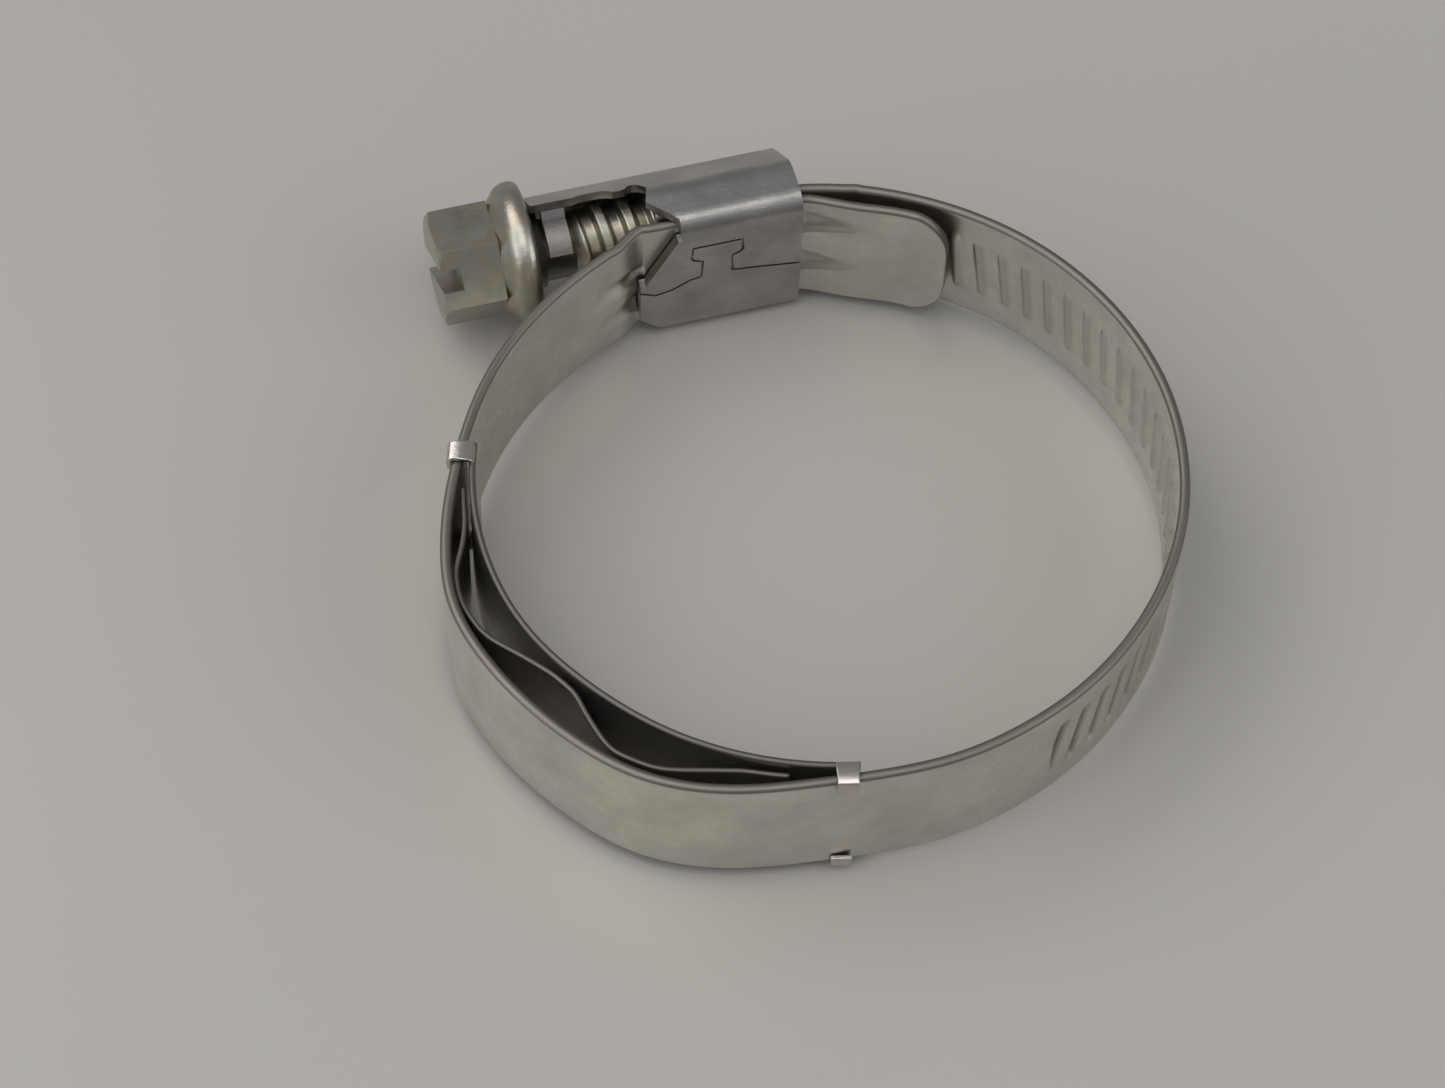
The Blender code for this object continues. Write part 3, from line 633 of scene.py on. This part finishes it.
def make_head():
    """The flange with its neck, and the slotted hexagon with its corners turned off."""
    rim = [(HEX_RIGHT + 0.35, 4.35), (HEX_RIGHT + 0.8, 4.85), (FLANGE_LEFT + 0.25, 5.2),
           (FLANGE_LEFT + 0.6, 5.42), (FLANGE_LEFT + 1.0, 5.56), (FLANGE_LEFT + 1.4, 5.6),
           (FLANGE_RIGHT - 0.3, 5.5), (FLANGE_RIGHT - 0.1, 5.3), (FLANGE_RIGHT, 5.0)]
    profile = [(HEX_RIGHT - 0.3, 0), (HEX_RIGHT - 0.3, 3.6), (HEX_RIGHT, 3.95), *rim,
               (FLANGE_RIGHT, COLLAR + 0.1), (FLANGE_RIGHT + 0.8, COLLAR),
               (FLANGE_RIGHT + 0.8, NECK), (THREAD_LEFT + 0.3, NECK), (THREAD_LEFT + 0.3, 0)]
    head = turned("screw_head", profile)
    corner = HEX_FLATS / math.sqrt(3)
    hexagon = [(SCREW_Y + corner * math.cos(math.radians(HEX_CORNER + 60 * k)),
                SCREW_Z + corner * math.sin(math.radians(HEX_CORNER + 60 * k))) for k in range(6)]
    block = mesh_object("hexagon", *prism(hexagon, "X", HEX_LEFT, HEX_RIGHT + 0.15))
    crown = [(HEX_LEFT, 0), (HEX_LEFT, 4.05), (HEX_LEFT + 0.35, 4.75), (HEX_RIGHT + 1, 4.75),
             (HEX_RIGHT + 1, 0)]
    boolean(block, turned("crown", crown), "INTERSECT")
    turn = math.radians(HEX_CORNER + 90)
    along = np.array([math.cos(turn), math.sin(turn)])
    side = np.array([-math.sin(turn), math.cos(turn)])
    middle = np.array([SCREW_Y, SCREW_Z])
    slot = [tuple(middle + along * a + side * b * SLOT_WIDTH / 2)
            for a, b in ((-9, -1), (9, -1), (9, 1), (-9, 1))]
    cutter = mesh_object("slot", *prism(slot, "X", HEX_LEFT - 1, HEX_LEFT + SLOT_DEPTH))
    boolean(block, cutter, "DIFFERENCE")
    return head, block


head, hexagon = make_head()
worm = make_worm()
soften(hexagon, 0.22, 4, 30)
for piece in (head, hexagon, worm):
    finish_piece(piece, SCREW, "screw_steel", "screw", "worm_screw")


# ---------------------------------------------------------------- spring insert
liner_path = smooth_path(ring_run(LINER_RUN))
liner = strip("liner_leaf", liner_path, LINER_THICKNESS)
finish_piece(liner, SPRING, "spring_steel", "clamp_body", "spring_liner")
wave_path = smooth_path(ring_run(WAVE_RUN, 1.5, 1.2))
wave = strip("wave_leaf", wave_path, WAVE_THICKNESS, low=0.8, high=11.2)
finish_piece(wave, SPRING, "spring_steel", "clamp_body", "wave_spring")


def make_lug(azimuth, upper):
    """A shelf over the band's edge, curling down onto its outer face."""
    i = nearest(liner_path, polar(azimuth, 0.9 if azimuth < 200 else 0.25))
    inner = liner_path[i]
    along = liner_path[min(i + 1, len(liner_path) - 1)] - liner_path[max(i - 1, 0)]
    along /= np.linalg.norm(along)
    outward = np.array([along[1], -along[0]])
    to_band = BAND_PATH[:HALF_WAY + 900] - inner    # the fixed run and a little more
    misplaced = (to_band @ outward < 0) * 1 + (np.linalg.norm(to_band, axis=1) > 9)
    opposite = np.argmin(abs(to_band @ along) + 50 * misplaced)
    reach = to_band[opposite] @ outward + THICKNESS / 2 + 0.3
    sign = 1 if upper else -1
    edge = WIDTH if upper else 0.0
    bends = ((0, -0.6), (0, -0.1), (0.12, 0.2), (0.4, 0.3),
             (reach - 0.4, 0.3), (reach - 0.1, 0.2), (reach, -0.1), (reach, -1.1))
    line = [np.array((out, edge + sign * up)) for out, up in bends]
    verts, faces = [], []
    for k, point in enumerate(line):
        ahead, behind = line[min(k + 1, len(line) - 1)], line[max(k - 1, 0)]
        run = (ahead - behind) / np.linalg.norm(ahead - behind)
        cross = np.array([-run[1], run[0]]) * LUG_SHEET / 2
        narrow = 1.0 if k < 4 else 0.92
        for place in (point + cross, point - cross):
            for b in (-1, 1):
                flat = inner + outward * place[0] + along * b * LUG_WIDTH / 2 * narrow
                verts.append((flat[0], flat[1], np.clip(place[1], -0.5, 12.5)))
    for k in range(len(line) - 1):
        a, b = 4 * k, 4 * k + 4
        for p, q in ((0, 1), (1, 3), (3, 2), (2, 0)):
            faces.append((a + p, a + q, b + q, b + p))
    last = 4 * len(line) - 4
    faces += [(0, 1, 3, 2), (last, last + 1, last + 3, last + 2)]
    lug = mesh_object(f"liner_lug_{azimuth:.0f}_{'top' if upper else 'bottom'}", verts, faces)
    soften(lug, 0.1)
    return lug


LUG = metal("lug_bright", (0.60, 0.56, 0.53), (0.50, 0.46, 0.43), 0.24, 0.04, uses_run=False)
for azimuth in LUG_CENTRES:
    for upper in (True, False):
        finish_piece(make_lug(azimuth, upper), LUG, "spring_steel", "clamp_body", "spring_liner")


# ---------------------------------------------------------------- stage
def floor_material():
    """A pale, slightly warm and glossy board with a faint unevenness."""
    material = bpy.data.materials.new("pale_board")
    material.use_nodes = True
    tree = material.node_tree
    shader = tree.nodes["Principled BSDF"]
    where = node(tree, "ShaderNodeTexCoord")
    cloud = node(tree, "ShaderNodeTexNoise", Scale=9.0, Detail=4.0)
    tree.links.new(where.outputs["Object"], cloud.inputs["Vector"])
    ramp = node(tree, "ShaderNodeMapRange")
    ramp.inputs["To Min"].default_value = 0.395
    ramp.inputs["To Max"].default_value = 0.43
    tree.links.new(cloud.outputs["Fac"], ramp.inputs["Value"])
    colour = node(tree, "ShaderNodeCombineColor")
    warm = node(tree, "ShaderNodeMath", operation="MULTIPLY")
    warm.inputs[1].default_value = 0.965
    tree.links.new(ramp.outputs["Result"], warm.inputs[0])
    cool = node(tree, "ShaderNodeMath", operation="MULTIPLY")
    cool.inputs[1].default_value = 0.90
    tree.links.new(ramp.outputs["Result"], cool.inputs[0])
    tree.links.new(ramp.outputs["Result"], colour.inputs[0])
    tree.links.new(warm.outputs[0], colour.inputs[1])
    tree.links.new(cool.outputs[0], colour.inputs[2])
    tree.links.new(colour.outputs["Color"], shader.inputs["Base Color"])
    shader.inputs["Roughness"].default_value = 0.28
    shader.inputs["Specular IOR Level"].default_value = 0.4
    return material


bpy.ops.mesh.primitive_plane_add(size=3.0, location=(0, 0, 0))
floor = bpy.context.object
floor.name = "floor"
floor.data.materials.append(floor_material())

studio = bpy.data.worlds.new("studio")
bpy.context.scene.world = studio
studio.use_nodes = True
background = studio.node_tree.nodes["Background"]
background.inputs["Color"].default_value = (0.86, 0.88, 0.90, 1)
background.inputs["Strength"].default_value = 0.30


def area_light(name, azimuth, elevation, distance, size, power, colour=(1, 1, 1)):
    """A square softbox aimed at the clamp; azimuth 0 is the camera's own."""
    a, e = math.radians(azimuth + AZIMUTH), math.radians(elevation)
    place = Vector((math.sin(a) * math.cos(e), -math.cos(a) * math.cos(e), math.sin(e))) * distance
    data = bpy.data.lights.new(name, "AREA")
    data.size, data.energy, data.color = size, power, colour
    lamp = bpy.data.objects.new(name, data)
    lamp.location = place
    lamp.rotation_euler = (-place).to_track_quat("-Z", "Y").to_euler()
    bpy.context.scene.collection.objects.link(lamp)


area_light("key", 242, 50, 1.0, 0.6, 2.7, (1.0, 0.985, 0.96))
area_light("side", -62, 34, 1.0, 0.7, 2.6, (0.98, 0.985, 1.0))
area_light("fill", 75, 38, 1.1, 0.8, 3.0, (1.0, 0.99, 0.97))
area_light("top", -25, 76, 1.1, 0.75, 3.7, (1.0, 0.995, 0.98))


# ---------------------------------------------------------------- camera
camera_data = bpy.data.cameras.new("camera")
camera_data.sensor_width = SENSOR
camera_data.lens = SENSOR * FOCAL_PIXELS / IMAGE_WIDTH
camera_data.clip_start, camera_data.clip_end = 0.01, 20
camera = bpy.data.objects.new("camera", camera_data)
bpy.context.scene.collection.objects.link(camera)
turn = Matrix.Rotation(math.radians(AZIMUTH), 4, "Z")
turn = turn @ Matrix.Rotation(math.radians(90 - ELEVATION), 4, "X")
look = turn.to_3x3() @ Vector((0, 0, 1))
place = Vector((TARGET + CENTRE) / 1000) + look * (DISTANCE / 1000)
camera.matrix_world = Matrix.Translation(place) @ turn @ Matrix.Rotation(math.radians(ROLL), 4, "Z")
bpy.context.scene.camera = camera
bpy.context.scene.view_settings.view_transform = "Standard"
